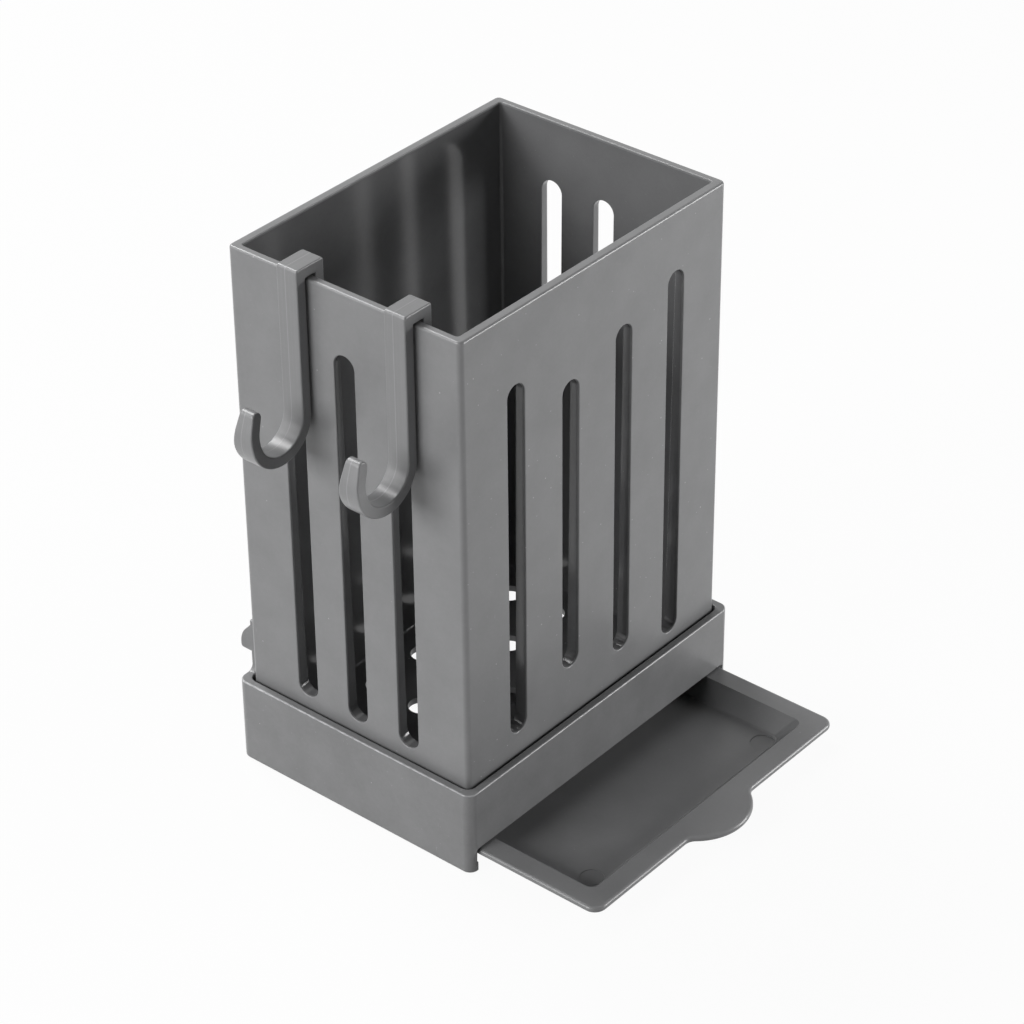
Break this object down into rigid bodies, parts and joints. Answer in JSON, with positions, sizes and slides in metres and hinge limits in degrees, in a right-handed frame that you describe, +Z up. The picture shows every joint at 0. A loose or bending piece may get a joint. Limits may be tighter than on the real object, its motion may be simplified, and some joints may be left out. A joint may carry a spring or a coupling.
{
  "type": "chopstick holder",
  "caption": "Tall slotted basket for chopsticks in a low base, with a drip tray that slides out under it and loose hooks over the rim of one end.",
  "frame": {"origin": "centre of the basket's footprint, on the surface that the base stands on", "axes": "+Z up; +X across the holder, towards the side where the drip tray comes out; +Y along the holder, away from the end that carries the hooks"},
  "size_m": [0.1474, 0.1444, 0.1812],
  "materials": {
    "basket_plastic": "satin",
    "base_plastic": "satin",
    "tray_plastic": "satin",
    "hook_plastic": "satin"
  },
  "bodies": {
    "base": {"base": "base_plastic"},
    "basket": {"basket": "basket_plastic"},
    "drip_tray": {"drip_tray": "tray_plastic"},
    "hook_left": {"hook_left": "hook_plastic"},
    "hook_right": {"hook_right": "hook_plastic"}
  },
  "joints": [
    {"name": "tray_slide", "type": "slide", "parent": "base", "child": "drip_tray", "axis": [1, 0, 0], "range_m": [-0.0437, 0.04]},
    {"name": "basket_lift", "type": "slide", "parent": "base", "child": "basket", "axis": [0, 0, 1], "range_m": [0, 0.04]},
    {"name": "hook_left_slide", "type": "slide", "parent": "basket", "child": "hook_left", "axis": [1, 0, 0], "range_m": [-0.019, 0.013]},
    {"name": "hook_right_slide", "type": "slide", "parent": "basket", "child": "hook_right", "axis": [1, 0, 0], "range_m": [-0.018, 0.012]}
  ]
}
